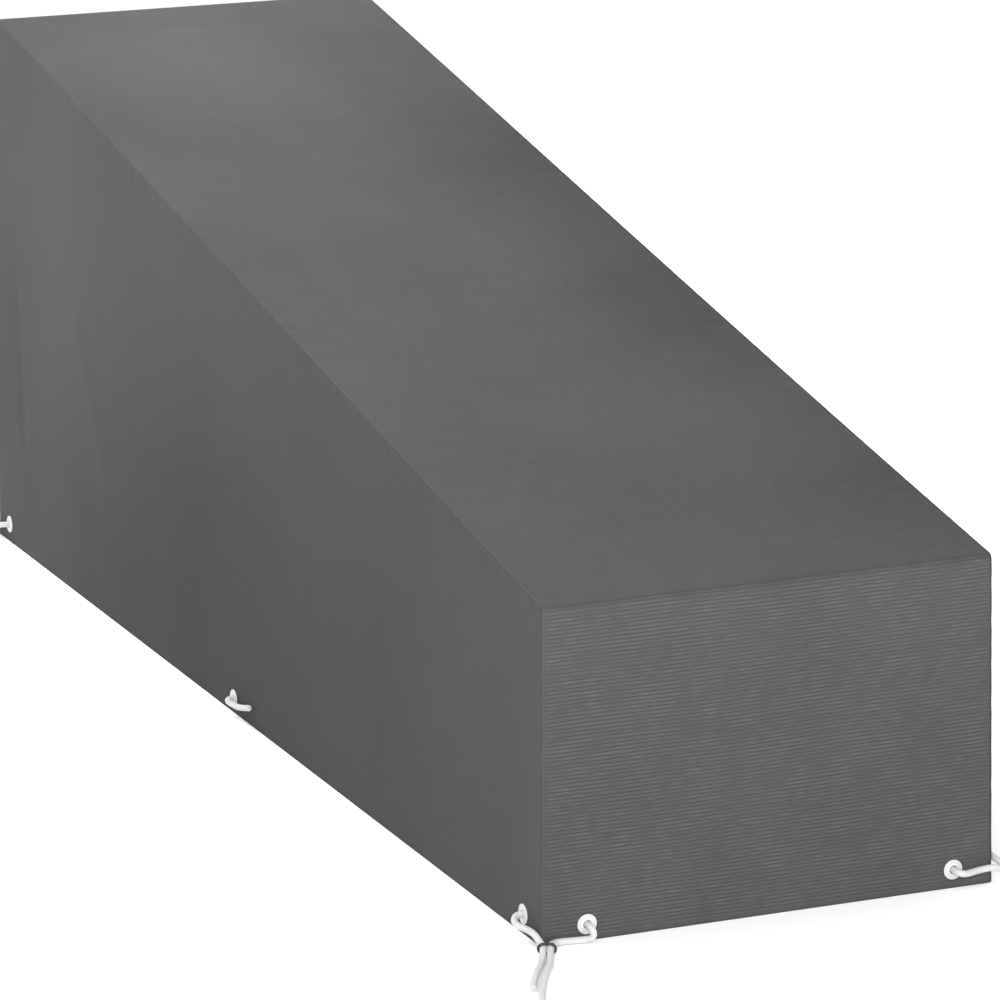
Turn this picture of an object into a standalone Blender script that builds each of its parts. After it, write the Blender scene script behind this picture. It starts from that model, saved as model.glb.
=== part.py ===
"""Fitted cover for a sun lounger.

Three sewn cloth panels stand as a hollow, sloping box that is open below. White eyelets sit in
the hem, and white cords come out of them and meet in a black band at each corner.

Metres, +Z up. The foot end faces -Y, the head end faces +Y, and the hem stands on z = 0.
"""

import math
from collections import namedtuple

import bmesh
import bpy
from mathutils import Matrix, Vector

# Driving sizes of the cover
LENGTH = 2.12
WIDTH = 0.62
FOOT_HEIGHT = 0.43
HEAD_HEIGHT = 0.82
CLOTH = 0.002  # thickness of every panel
FOLD_RADIUS = 0.010  # outside radius where the long panel turns over the foot and head edges
SEAM_GAP = 0.0005  # between the long panel and the side panels
HEM_BAND = 0.045  # height of the flat band along the hem that holds the eyelets
EDGE_SAG = 0.0035  # how far the right top edge hangs below a straight line
SLOPE = (HEAD_HEIGHT - FOOT_HEIGHT) / LENGTH

# Eyelets
EYELET_RADIUS = 0.013
EYELET_HOLE = 0.0052  # radius of the clear hole
EYELET_BARREL = 0.0064  # outside radius of the tube through the cloth
EYELET_BACK = 0.0112  # radius of the flange inside the cover
FLANGE = 0.0019  # thickness of a flange at its hub
FLANGE_RIM = 0.0009  # and at its rim
CLEARANCE = 0.0003  # between pieces that touch
CLOTH_HOLE = 0.0069  # radius of the hole in the cloth
END_INSET = 0.0614  # from a corner to the eyelet on the foot or head end
RIGHT_FOOT_INSET = 0.0557  # the same at the foot end's right corner
SIDE_INSET = 0.0531  # from a corner to the eyelet on a side
END_EYELET_UP = 0.0217
RIGHT_FOOT_UP = 0.0247
SIDE_EYELET_UP = 0.0262  # near the foot end
HEAD_SIDE_UP = 0.0282  # the same near the head end
MIDDLE_ALONG = 0.0096  # where the middle eyelets sit on Y
MIDDLE_EYELET_UP = 0.0208

# Cords and bands
CORD = 0.0086  # diameter
CORD_STEP = 0.0095  # between the points of a cord's tube
BAND_WIRE = 0.0034
CORDS_APART = CORD + CLEARANCE  # between the centres of the two cords inside a band
BAND_BEND = CORD / 2 + CLEARANCE + BAND_WIRE / 2  # from a cord's centre to the band's wire

# Steps of the grids that the panels are made from
ACROSS = 10
FOOT_ROWS = 6
SLOPE_ROWS = 30
HEAD_ROWS = 9
FOLD_STEPS = 4
SIDE_ROWS = 7

LEFT, RIGHT = -1, 1
FOOT, HEAD = -1, 1
HEM, TOP = 0, 1

# How far each corner of the sewn cover stands from the corner of a true box
Corner = namedtuple("Corner", "side end level dx dy dz")
CORNERS = [
    Corner(LEFT, FOOT, HEM, -0.0025, 0, 0),
    Corner(RIGHT, FOOT, HEM, 0.0030, 0, 0),
    Corner(LEFT, FOOT, TOP, -0.0025, 0, 0),
    Corner(RIGHT, FOOT, TOP, -0.0075, 0, 0.004),
    Corner(LEFT, HEAD, HEM, -0.0055, 0, 0),
    Corner(RIGHT, HEAD, HEM, 0.0055, 0, 0),
    Corner(LEFT, HEAD, TOP, 0.0105, 0, 0),
    Corner(RIGHT, HEAD, TOP, -0.0025, 0, 0),
]

# Soft swells and troughs in each panel. along runs from foot to head, or from left to right on
# the two ends; up runs from the hem band to the top edge, or from left to right on the slope.
# Both are shares of the panel, as are the two reaches. out is in metres, and less than 0 is a
# trough.
Swell = namedtuple("Swell", "panel along up reach_along reach_up out")
SWELLS = [
    Swell("left", 0.16, 0.55, 0.16, 0.60, 0.005),
    Swell("left", 0.47, 0.45, 0.20, 0.55, -0.009),
    Swell("left", 0.80, 0.60, 0.18, 0.50, 0.007),
    Swell("right", 0.22, 0.50, 0.18, 0.55, 0.006),
    Swell("right", 0.55, 0.45, 0.18, 0.60, -0.008),
    Swell("right", 0.83, 0.60, 0.16, 0.50, 0.006),
    Swell("top", 0.22, 0.45, 0.17, 0.60, -0.007),
    Swell("top", 0.52, 0.60, 0.20, 0.55, -0.010),
    Swell("top", 0.82, 0.45, 0.15, 0.55, 0.005),
    Swell("foot", 0.34, 0.48, 0.28, 0.40, 0.003),
    Swell("foot", 0.72, 0.60, 0.24, 0.45, -0.004),
    Swell("head", 0.45, 0.40, 0.35, 0.45, -0.007),
    Swell("head", 0.60, 0.78, 0.30, 0.30, 0.004),
]

# Routes of the cords, as points that each cord's middle passes through. past_side and past_end
# are measured outwards from the corner of the hem, and up from the floor.
Step = namedtuple("Step", "past_side past_end up")

# From the eyelet on the end, down and round its right side, along the hem and out to the band
END_CORD = [
    Step(-END_INSET, -0.0120, END_EYELET_UP),
    Step(-END_INSET, -0.0030, END_EYELET_UP),
    Step(-END_INSET, 0.0040, END_EYELET_UP),
    Step(-0.0619, 0.0108, 0.0204),
    Step(-0.0632, 0.0150, 0.0161),
    Step(-0.0630, 0.0154, 0.0108),
    Step(-0.0592, 0.0122, 0.0068),
    Step(-0.0515, 0.0084, 0.0053),
    Step(-0.0410, 0.0060, 0.0050),
    Step(-0.0300, 0.0053, 0.0052),
    Step(-0.0200, 0.0062, 0.0057),
    Step(-0.0120, 0.0102, 0.0064),
    Step(-0.0068, 0.0166, 0.0073),
    Step(-0.0032, 0.0238, 0.0081),
    Step(0.0003, 0.0309, 0.0082),
    Step(0.0037, 0.0382, 0.0079),
    Step(0.0094, 0.0510, 0.0056),
    Step(0.0180, 0.0705, 0.0046),
    Step(0.0290, 0.0895, 0.0046),
    Step(0.0400, 0.1080, 0.0046),
    Step(0.0505, 0.1270, 0.0046),
    Step(0.0608, 0.1470, 0.0046),
    Step(0.0705, 0.1675, 0.0046),
    Step(0.0782, 0.1850, 0.0046),
    Step(0.0836, 0.1985, 0.0046),
]

# From the eyelet on the side, out in a small loop, along the hem and through the band
SIDE_CORD = [
    Step(-0.0120, -SIDE_INSET, SIDE_EYELET_UP),
    Step(-0.0030, -SIDE_INSET, SIDE_EYELET_UP),
    Step(0.0040, -SIDE_INSET, SIDE_EYELET_UP),
    Step(0.0110, -0.0516, 0.0248),
    Step(0.0150, -0.0458, 0.0211),
    Step(0.0136, -0.0372, 0.0180),
    Step(0.0094, -0.0280, 0.0166),
    Step(0.0064, -0.0180, 0.0158),
    Step(0.0053, -0.0070, 0.0148),
    Step(0.0053, 0.0040, 0.0122),
    Step(0.0054, 0.0120, 0.0099),
    Step(0.0058, 0.0200, 0.0084),
    Step(0.0085, 0.0271, 0.0082),
    Step(0.0119, 0.0346, 0.0080),
    Step(0.0190, 0.0490, 0.0056),
    Step(0.0262, 0.0620, 0.0046),
    Step(0.0348, 0.0765, 0.0046),
    Step(0.0490, 0.0990, 0.0046),
    Step(0.0617, 0.1222, 0.0046),
    Step(0.0732, 0.1447, 0.0046),
]

# The same at the head end, where the loop stands higher
HEAD_SIDE_CORD = [
    Step(-0.0120, -SIDE_INSET, HEAD_SIDE_UP),
    Step(-0.0030, -SIDE_INSET, HEAD_SIDE_UP),
    Step(0.0040, -SIDE_INSET, HEAD_SIDE_UP),
    Step(0.0110, -0.0516, 0.0281),
    Step(0.0150, -0.0458, 0.0268),
    Step(0.0136, -0.0372, 0.0240),
    Step(0.0094, -0.0280, 0.0204),
    Step(0.0064, -0.0180, 0.0174),
    Step(0.0053, -0.0070, 0.0150),
    Step(0.0053, 0.0040, 0.0122),
    Step(0.0054, 0.0120, 0.0099),
    Step(0.0058, 0.0200, 0.0084),
    Step(0.0085, 0.0271, 0.0082),
    Step(0.0119, 0.0346, 0.0080),
    Step(0.0190, 0.0490, 0.0056),
    Step(0.0262, 0.0620, 0.0046),
    Step(0.0348, 0.0765, 0.0046),
    Step(0.0490, 0.0990, 0.0046),
    Step(0.0617, 0.1222, 0.0046),
    Step(0.0732, 0.1447, 0.0046),
]

# At the foot end's right corner the two cords stay taut above the floor as far as the band
TAUT_END_CORD = [
    Step(-RIGHT_FOOT_INSET, -0.0120, RIGHT_FOOT_UP),
    Step(-RIGHT_FOOT_INSET, -0.0030, RIGHT_FOOT_UP),
    Step(-RIGHT_FOOT_INSET, 0.0040, RIGHT_FOOT_UP),
    Step(-0.0546, 0.0106, 0.0240),
    Step(-0.0490, 0.0144, 0.0226),
    Step(-0.0405, 0.0126, 0.0214),
    Step(-0.0280, 0.0082, 0.0212),
    Step(-0.0150, 0.0058, 0.0216),
    Step(-0.0030, 0.0068, 0.0220),
    Step(0.0080, 0.0140, 0.0216),
    Step(0.0186, 0.0258, 0.0202),
    Step(0.0236, 0.0318, 0.0190),
    Step(0.0320, 0.0430, 0.0136),
    Step(0.0410, 0.0585, 0.0072),
    Step(0.0500, 0.0780, 0.0047),
    Step(0.0585, 0.0960, 0.0046),
    Step(0.0650, 0.1130, 0.0046),
    Step(0.0700, 0.1300, 0.0046),
]
TAUT_SIDE_CORD = [
    Step(-0.0120, -SIDE_INSET, SIDE_EYELET_UP),
    Step(-0.0030, -SIDE_INSET, SIDE_EYELET_UP),
    Step(0.0040, -SIDE_INSET, SIDE_EYELET_UP),
    Step(0.0108, -0.0516, 0.0268),
    Step(0.0148, -0.0456, 0.0278),
    Step(0.0132, -0.0365, 0.0288),
    Step(0.0094, -0.0255, 0.0298),
    Step(0.0078, -0.0130, 0.0296),
    Step(0.0108, -0.0010, 0.0266),
    Step(0.0178, 0.0102, 0.0226),
    Step(0.0254, 0.0202, 0.0202),
    Step(0.0310, 0.0266, 0.0188),
    Step(0.0430, 0.0396, 0.0128),
    Step(0.0560, 0.0545, 0.0066),
    Step(0.0690, 0.0705, 0.0047),
    Step(0.0820, 0.0870, 0.0046),
]

# The short cord of a middle eyelet. along is measured from the eyelet towards the foot end.
ShortStep = namedtuple("ShortStep", "past_side along up")
SHORT_CORD = [
    ShortStep(-0.0120, 0, MIDDLE_EYELET_UP),
    ShortStep(-0.0030, 0, MIDDLE_EYELET_UP),
    ShortStep(0.0035, 0, MIDDLE_EYELET_UP),
    ShortStep(0.0090, 0.0022, 0.0207),
    ShortStep(0.0108, 0.0072, 0.0198),
    ShortStep(0.0088, 0.0130, 0.0182),
    ShortStep(0.0066, 0.0210, 0.0172),
    ShortStep(0.0055, 0.0310, 0.0176),
    ShortStep(0.0052, 0.0430, 0.0200),
    ShortStep(0.0052, 0.0560, 0.0232),
    ShortStep(0.0052, 0.0670, 0.0262),
    ShortStep(0.0052, 0.0760, 0.0285),
]

# Middle of a band, and of the two cords in it
BAND = Step(0.0044, 0.0290, 0.0082)
TAUT_BAND = Step(0.0220, 0.0230, 0.0202)

# Every route starts in the middle of its eyelet's hole.
Tie = namedtuple("Tie", "side end end_route side_route band")
TIES = [
    Tie(LEFT, FOOT, END_CORD, SIDE_CORD, BAND),
    Tie(RIGHT, FOOT, TAUT_END_CORD, TAUT_SIDE_CORD, TAUT_BAND),
    Tie(LEFT, HEAD, END_CORD, HEAD_SIDE_CORD, BAND),
    Tie(RIGHT, HEAD, END_CORD, HEAD_SIDE_CORD, BAND),
]

SIDE_NAMES = {LEFT: "left", RIGHT: "right"}
END_NAMES = {FOOT: "foot", HEAD: "head"}


# ---------------------------------------------------------------- shape of the cover

def ridge(y):
    """Height of the sloping top at y on a true box."""
    return FOOT_HEIGHT + (y + LENGTH / 2) * SLOPE


def lean(point):
    """Moves a point of the true box with the corners near it, and lets the right top edge sag."""
    u = point.x / WIDTH + 0.5
    v = point.y / LENGTH + 0.5
    w = point.z / ridge(point.y)
    moved = point.copy()
    for corner in CORNERS:
        across = u if corner.side == RIGHT else 1 - u
        along = v if corner.end == HEAD else 1 - v
        up = w if corner.level == TOP else 1 - w
        moved += across * along * up * Vector((corner.dx, corner.dy, corner.dz))
    moved.z -= EDGE_SAG * u * max(w, 0) ** 3 * 6.75 * max(v, 0) * (1 - v) ** 2
    return moved


def border(share):
    """0 at both edges of a panel, level there, and 1 in its middle."""
    inside = min(max(share, 0), 1)
    return 16 * inside**2 * (1 - inside) ** 2


def above_band(z, height):
    """How far z lies between the hem band and the top edge at that height."""
    return (z - HEM_BAND) / (height - HEM_BAND)


def swell(panel, along, up):
    """How far the cloth stands out at a share of a panel's two sides."""
    total = 0
    for row in SWELLS:
        if row.panel == panel:
            far_along = (along - row.along) / row.reach_along
            far_up = (up - row.up) / row.reach_up
            total += row.out * math.exp(-(far_along**2) - far_up**2)
    return total * border(along) * border(up)


def side_point(side, y, z):
    """A point in the middle of a side panel's cloth."""
    out = swell(SIDE_NAMES[side], y / LENGTH + 0.5, above_band(z, ridge(y)))
    point = lean(Vector((side * (WIDTH / 2 - CLOTH / 2), y, z)))
    return point + Vector((side * out, 0, 0))


def long_point(x, y, z):
    """A point in the middle of the long panel's cloth, on an end or on the slope."""
    point = lean(Vector((x, y, z)))
    across = x / WIDTH + 0.5
    if y < -LENGTH / 2 + CLOTH:
        point.y -= swell("foot", across, above_band(z, FOOT_HEIGHT))
    elif y > LENGTH / 2 - CLOTH:
        point.y += swell("head", across, above_band(z, HEAD_HEIGHT))
    else:
        point.z += swell("top", y / LENGTH + 0.5, across)
    return point


def spread(first, last, steps):
    """Evenly spaced numbers from first to last, both included."""
    return [first + (last - first) * i / steps for i in range(steps + 1)]


def fold_centre(end):
    """Middle of the round fold over an end, which touches both the end and the slope."""
    y = end * (LENGTH / 2 - FOLD_RADIUS)
    return y, ridge(y) - FOLD_RADIUS * math.sqrt(1 + SLOPE**2)


def fold_arc(end, inset):
    """Points of a fold from the foot side to the head side, inset from its outer face."""
    y, z = fold_centre(end)
    square_to_slope = math.pi / 2 + math.atan(SLOPE)
    angles = (math.pi, square_to_slope) if end == FOOT else (square_to_slope, 0)
    radius = FOLD_RADIUS - inset
    turn = spread(angles[0], angles[1], FOLD_STEPS)
    return [(y + radius * math.cos(a), z + radius * math.sin(a)) for a in turn]


def over_the_top(inset):
    """Points from fold to fold along the slope, inset from the outer face."""
    foot = fold_arc(FOOT, inset)
    head = fold_arc(HEAD, inset)
    (y0, z0), (y1, z1) = foot[-1], head[0]
    shares = spread(0, 1, SLOPE_ROWS)[1:-1]
    slope = [(y0 + (y1 - y0) * s, z0 + (z1 - z0) * s) for s in shares]
    return foot + slope + head


# ---------------------------------------------------------------- building

def clear_scene():
    """Removes what the file starts with."""
    for obj in list(bpy.data.objects):
        bpy.data.objects.remove(obj, do_unlink=True)


def new_collection(name):
    collection = bpy.data.collections.new(name)
    bpy.context.scene.collection.children.link(collection)
    return collection


def finish(name, colour, roughness):
    """One plain Principled material."""
    material = bpy.data.materials.new(name)
    material.use_nodes = True
    shader = material.node_tree.nodes["Principled BSDF"]
    shader.inputs["Base Color"].default_value = (*colour, 1)
    shader.inputs["Roughness"].default_value = roughness
    shader.inputs["Metallic"].default_value = 0
    return material


def add_object(name, data, material, collection):
    obj = bpy.data.objects.new(name, data)
    if not data.materials:
        data.materials.append(material)
    collection.objects.link(obj)
    return obj


def cloth_sheet(name, columns, rows, place, material, collection):
    """A grid whose points are moved onto the cloth's middle, and thickened both ways."""
    bm = bmesh.new()
    bmesh.ops.create_grid(bm, x_segments=columns, y_segments=rows, size=0.5)
    for vert in bm.verts:
        column = round((vert.co.x + 0.5) * columns)
        row = round((vert.co.y + 0.5) * rows)
        vert.co = place(column, row)
    mesh = bpy.data.meshes.new(name)
    bm.to_mesh(mesh)
    bm.free()
    mesh.shade_smooth()
    sheet = add_object(name, mesh, material, collection)
    thicken = sheet.modifiers.new("Cloth thickness", "SOLIDIFY")
    thicken.thickness = CLOTH
    thicken.offset = 0
    thicken.use_even_offset = True
    return sheet


def long_panel(material, collection):
    """The strip over foot end, slope and head end."""
    top = over_the_top(CLOTH / 2)
    (foot_y, foot_z), (head_y, head_z) = top[0], top[-1]
    rise = [(foot_y, z) for z in spread(HEM_BAND, foot_z, FOOT_ROWS)[:-1]]
    fall = [(head_y, z) for z in spread(head_z, HEM_BAND, HEAD_ROWS)[1:]]
    line = [(foot_y, 0)] + rise + top + fall + [(head_y, 0)]

    def place(column, row):
        y, z = line[row]
        return long_point(-WIDTH / 2 + WIDTH * column / ACROSS, y, z)

    return cloth_sheet("long_panel", ACROSS, len(line) - 1, place, material, collection)


def side_panel(side, material, collection):
    """A trapezoid that fits inside the long panel's edge."""
    name = f"{SIDE_NAMES[side]}_panel"
    line = over_the_top(CLOTH + SEAM_GAP)

    def place(column, row):
        y, top = line[column]
        heights = [0] + spread(HEM_BAND, top, SIDE_ROWS)
        return side_point(side, y, heights[row])

    return cloth_sheet(name, len(line) - 1, SIDE_ROWS + 1, place, material, collection)


Seat = namedtuple("Seat", "middle turn")


def seat_on(surface, along, up):
    """Place and turn of a piece that lies flat on the cloth. surface gives a point of it."""
    nudge = 0.004
    middle = surface(along, up)
    level = surface(along + nudge, up) - surface(along - nudge, up)
    rise = surface(along, up + nudge) - surface(along, up - nudge)
    outward = level.cross(rise).normalized()
    if outward.dot(middle) < 0:
        outward.negate()
    rise = (rise - outward * rise.dot(outward)).normalized()
    turn = Matrix((rise.cross(outward), rise, outward)).transposed().to_4x4()
    return Seat(middle, turn)


def on_end(end):
    return lambda x, z: long_point(x, end * (LENGTH / 2 - CLOTH / 2), z)


def on_side(side):
    return lambda y, z: side_point(side, y, z)


def eyelet_seats():
    """Every eyelet's name, panel and seat in the hem."""
    seats = []
    for tie in TIES:
        side, end = SIDE_NAMES[tie.side], END_NAMES[tie.end]
        x = tie.side * (WIDTH / 2 + tie.end_route[0].past_side)
        seat = seat_on(on_end(tie.end), x, tie.end_route[0].up)
        seats.append((f"eyelet_{end}_{side}", "long_panel", seat))
        y = tie.end * (LENGTH / 2 + tie.side_route[0].past_end)
        seat = seat_on(on_side(tie.side), y, tie.side_route[0].up)
        seats.append((f"eyelet_{side}_{end}", f"{side}_panel", seat))
    for side, name in SIDE_NAMES.items():
        seat = seat_on(on_side(side), MIDDLE_ALONG, MIDDLE_EYELET_UP)
        seats.append((f"eyelet_{name}_middle", f"{name}_panel", seat))
    return seats


def eyelet_mesh():
    """Half a section of the flanged ring, to be turned about Z. Z points out of the cover."""
    face = CLOTH / 2 + CLEARANCE
    front = face + FLANGE
    back = -face - FLANGE
    section = [
        (EYELET_HOLE, front - 0.0004),
        (EYELET_HOLE + 0.0012, front),
        (EYELET_RADIUS - 0.0012, face + FLANGE_RIM + 0.0004),
        (EYELET_RADIUS, face + FLANGE_RIM / 2),
        (EYELET_RADIUS - 0.0006, face),
        (EYELET_BARREL, face),
        (EYELET_BARREL, -face),
        (EYELET_BACK, -face),
        (EYELET_BACK, -face - FLANGE_RIM),
        (EYELET_HOLE, back),
    ]
    mesh = bpy.data.meshes.new("eyelet")
    points = [(radius, 0, height) for radius, height in section]
    edges = [(i, (i + 1) % len(points)) for i in range(len(points))]
    mesh.from_pydata(points, edges, [])
    return mesh


def add_eyelet(name, seat, mesh, material, collection):
    eyelet = add_object(name, mesh, material, collection)
    turned = eyelet.modifiers.new("Turned", "SCREW")
    turned.steps = 16
    turned.render_steps = 16
    turned.use_merge_vertices = True
    turned.merge_threshold = 0.00005
    turned.use_normal_calculate = True
    eyelet.matrix_world = Matrix.Translation(seat.middle) @ seat.turn
    return eyelet


def cut_hole(panel, name, seat, cutters):
    """Cuts an eyelet's hole through a panel."""
    bm = bmesh.new()
    bmesh.ops.create_cone(
        bm, cap_ends=True, segments=16, radius1=CLOTH_HOLE, radius2=CLOTH_HOLE, depth=6 * CLOTH
    )
    mesh = bpy.data.meshes.new(name)
    bm.to_mesh(mesh)
    bm.free()
    cutter = bpy.data.objects.new(name, mesh)
    cutters.objects.link(cutter)
    cutter.matrix_world = Matrix.Translation(seat.middle) @ seat.turn
    cutter.hide_render = True
    cutter.display_type = "WIRE"
    cut = panel.modifiers.new(name, "BOOLEAN")
    cut.operation = "DIFFERENCE"
    cut.object = cutter


def from_corner(side, end, step):
    """The place of a route's step, mirrored to its own corner of the hem."""
    x = side * (WIDTH / 2 + step.past_side)
    y = end * (LENGTH / 2 + step.past_end)
    return lean(Vector((x, y, step.up)))


def smooth_curve(points, step):
    """Even steps along a smooth curve through the points, by Catmull and Rom's rule."""
    fine = []
    padded = [2 * points[0] - points[1]] + points + [2 * points[-1] - points[-2]]
    for a, b, c, d in zip(padded, padded[1:], padded[2:], padded[3:]):
        for i in range(20):
            t = i / 20
            bend = (2 * a - 5 * b + 4 * c - d) * t**2 + (3 * b - 3 * c + d - a) * t**3
            fine.append(b + (c - a) * t / 2 + bend / 2)
    fine.append(points[-1])
    lengths = [(q - p).length for p, q in zip(fine, fine[1:])]
    count = round(sum(lengths) / step)
    even = [fine[0]]
    done = 0
    for length, point, following in zip(lengths, fine, fine[1:]):
        wanted = sum(lengths) * len(even) / count
        while len(even) < count and done + length >= wanted:
            even.append(point.lerp(following, (wanted - done) / length))
            wanted = sum(lengths) * len(even) / count
        done += length
    return even + [fine[-1]]


def tube(name, points, radius, closed, resolution, material, collection):
    """A round tube on straight runs between its points, with flat ends unless it is closed."""
    curve = bpy.data.curves.new(name, "CURVE")
    curve.dimensions = "3D"
    curve.bevel_depth = radius
    curve.bevel_resolution = resolution
    curve.use_fill_caps = True
    line = curve.splines.new("POLY")
    line.points.add(len(points) - 1)
    for slot, point in zip(line.points, points):
        slot.co = (*point, 1)
    line.use_cyclic_u = closed
    return add_object(name, curve, material, collection)


def add_cord(name, route, material, collection):
    points = smooth_curve(route, CORD_STEP)
    return tube(name, points, CORD / 2, False, 2, material, collection)


def add_band(name, centre, across, material, collection):
    """An upright oval ring round two cords that lie side by side. across leads between them."""
    points = []
    for turn in spread(0, 2 * math.pi, 16)[:-1]:
        shift = math.copysign(CORDS_APART / 2, math.cos(turn))
        if abs(math.cos(turn)) < 0.01:
            shift = 0
        sideways = across * (shift + BAND_BEND * math.cos(turn))
        points.append(centre + sideways + Vector((0, 0, BAND_BEND * math.sin(turn))))
    return tube(name, points, BAND_WIRE / 2, True, 1, material, collection)


def add_tie(tie, cord_finish, band_finish, collection):
    """The two cords and the band of one corner."""
    place = f"{END_NAMES[tie.end]}_{SIDE_NAMES[tie.side]}"
    centre = from_corner(tie.side, tie.end, tie.band)
    nearest = []
    for name, route in (("end", tie.end_route), ("side", tie.side_route)):
        points = [from_corner(tie.side, tie.end, step) for step in route]
        add_cord(f"cord_{place}_{name}", points, cord_finish, collection)
        nearest.append(min(points, key=lambda point: (point - centre).length))
    across = nearest[0] - nearest[1]
    across.z = 0
    add_band(f"band_{place}", centre, across.normalized(), band_finish, collection)


def add_short_cord(side, material, collection):
    """The cord that ends bare beside a middle eyelet."""
    name = f"cord_{SIDE_NAMES[side]}_middle"
    points = [
        lean(Vector((side * (WIDTH / 2 + step.past_side), MIDDLE_ALONG - step.along, step.up)))
        for step in SHORT_CORD
    ]
    add_cord(name, points, material, collection)


def main():
    clear_scene()
    cover = new_collection("lounge_chair_cover")
    cutters = new_collection("cutters")
    cloth = finish("woven_cloth", (0.085, 0.085, 0.086), 0.75)
    white_plastic = finish("white_plastic", (0.80, 0.80, 0.79), 0.4)
    white_cord = finish("white_cord", (0.76, 0.76, 0.75), 0.85)
    black_rubber = finish("black_rubber", (0.012, 0.012, 0.012), 0.5)

    panels = {"long_panel": long_panel(cloth, cover)}
    panels["left_panel"] = side_panel(LEFT, cloth, cover)
    panels["right_panel"] = side_panel(RIGHT, cloth, cover)
    ring = eyelet_mesh()
    for name, panel, seat in eyelet_seats():
        add_eyelet(name, seat, ring, white_plastic, cover)
        cut_hole(panels[panel], f"hole_for_{name}", seat, cutters)
    for tie in TIES:
        add_tie(tie, white_cord, black_rubber, cover)
    for side in SIDE_NAMES:
        add_short_cord(side, white_cord, cover)


main()
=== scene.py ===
"""Looks of the fitted cover for a lounge chair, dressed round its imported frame."""

import math

import bmesh
import bpy
import mathutils
import numpy as np
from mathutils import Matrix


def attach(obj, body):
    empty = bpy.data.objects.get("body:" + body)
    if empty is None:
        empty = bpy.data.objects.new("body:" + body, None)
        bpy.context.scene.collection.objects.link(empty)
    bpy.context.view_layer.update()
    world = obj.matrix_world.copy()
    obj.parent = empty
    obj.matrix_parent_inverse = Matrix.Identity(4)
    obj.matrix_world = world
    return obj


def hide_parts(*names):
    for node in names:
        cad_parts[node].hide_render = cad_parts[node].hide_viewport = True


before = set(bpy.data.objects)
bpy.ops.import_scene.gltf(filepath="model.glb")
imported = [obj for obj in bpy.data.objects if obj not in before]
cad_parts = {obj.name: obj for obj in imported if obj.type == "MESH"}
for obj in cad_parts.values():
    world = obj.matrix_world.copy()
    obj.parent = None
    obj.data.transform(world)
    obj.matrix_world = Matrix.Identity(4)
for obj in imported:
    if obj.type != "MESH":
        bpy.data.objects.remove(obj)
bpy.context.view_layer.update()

# ---------------------------------------------------------------- camera
# It stands off the left corner of the foot end and looks down the length of the cover through a
# long lens, so that the hems run together only slowly.

camera_data = bpy.data.cameras.new("camera")
camera_data.sensor_width = 36
camera_data.lens = 194.76
camera = bpy.data.objects.new("camera", camera_data)
camera.location = (-2.8296, -6.8073, 2.2189)
camera.rotation_euler = (math.radians(90 - 14.75), 0, math.radians(-23.196))
bpy.context.scene.collection.objects.link(camera)
bpy.context.scene.camera = camera

# ---------------------------------------------------------------- long cloth
# One strip of grey outdoor cloth, ribbed across its width, runs from the foot hem over the slope
# to the head hem. Its long edges turn in and are sewn to the side cloths, and both of its ends
# are folded in for a hem that holds the eyelets.

cover_width = 0.62
cover_length = 2.12
foot_height = 0.43
head_height = 0.82
rise = (head_height - foot_height) / cover_length
fold_radius = 0.010  # where the cloth turns over the foot and head edges
cloth_thickness = 0.0009
hem_depth = 0.042
hem_thickness = 0.002  # of the folded hem, from face to face
hem_band = 0.045  # the flat part along the hem
hem_short = 0.010  # the folded part stops this far from the corners
seam_roll = 0.0009  # radius of a sewn edge
seam_allowance = 0.007
roll_length = seam_roll * math.pi * 3 / 4
roll_width = seam_roll * (1 + math.sqrt(2))  # from the start of the roll to the true corner
left, right = -1, 1
foot, head = -1, 1
side_names = {left: "left", right: "right"}
end_names = {foot: "foot", head: "head"}

# side, end, at the top, and how far the corner of the sewn cover stands from a true box in x and z
corner_shifts = [
    (left, foot, False, -0.0025, 0), (right, foot, False, 0.0030, 0),
    (left, foot, True, -0.0025, 0), (right, foot, True, -0.0075, 0.004),
    (left, head, False, -0.0055, 0), (right, head, False, 0.0055, 0),
    (left, head, True, 0.0105, 0), (right, head, True, -0.0025, 0),
]
edge_sag = 0.0035  # how far the right top edge hangs below a straight line

# panel, along, up, reach along, reach up, and how far it stands out. The first four are shares of
# the panel: along from foot to head or left to right, up from the hem or from the left edge.
swells = [
    ("left", 0.16, 0.55, 0.16, 0.60, 0.005), ("left", 0.47, 0.45, 0.20, 0.55, -0.009),
    ("left", 0.80, 0.60, 0.18, 0.50, 0.007), ("right", 0.22, 0.50, 0.18, 0.55, 0.006),
    ("right", 0.55, 0.45, 0.18, 0.60, -0.008), ("right", 0.83, 0.60, 0.16, 0.50, 0.006),
    ("top", 0.22, 0.45, 0.17, 0.60, -0.007), ("top", 0.52, 0.60, 0.20, 0.55, -0.010),
    ("top", 0.82, 0.45, 0.15, 0.55, 0.005), ("foot", 0.34, 0.48, 0.28, 0.40, 0.003),
    ("foot", 0.72, 0.60, 0.24, 0.45, -0.004), ("head", 0.45, 0.40, 0.35, 0.45, -0.007),
    ("head", 0.60, 0.78, 0.30, 0.30, 0.004),
]

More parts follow.
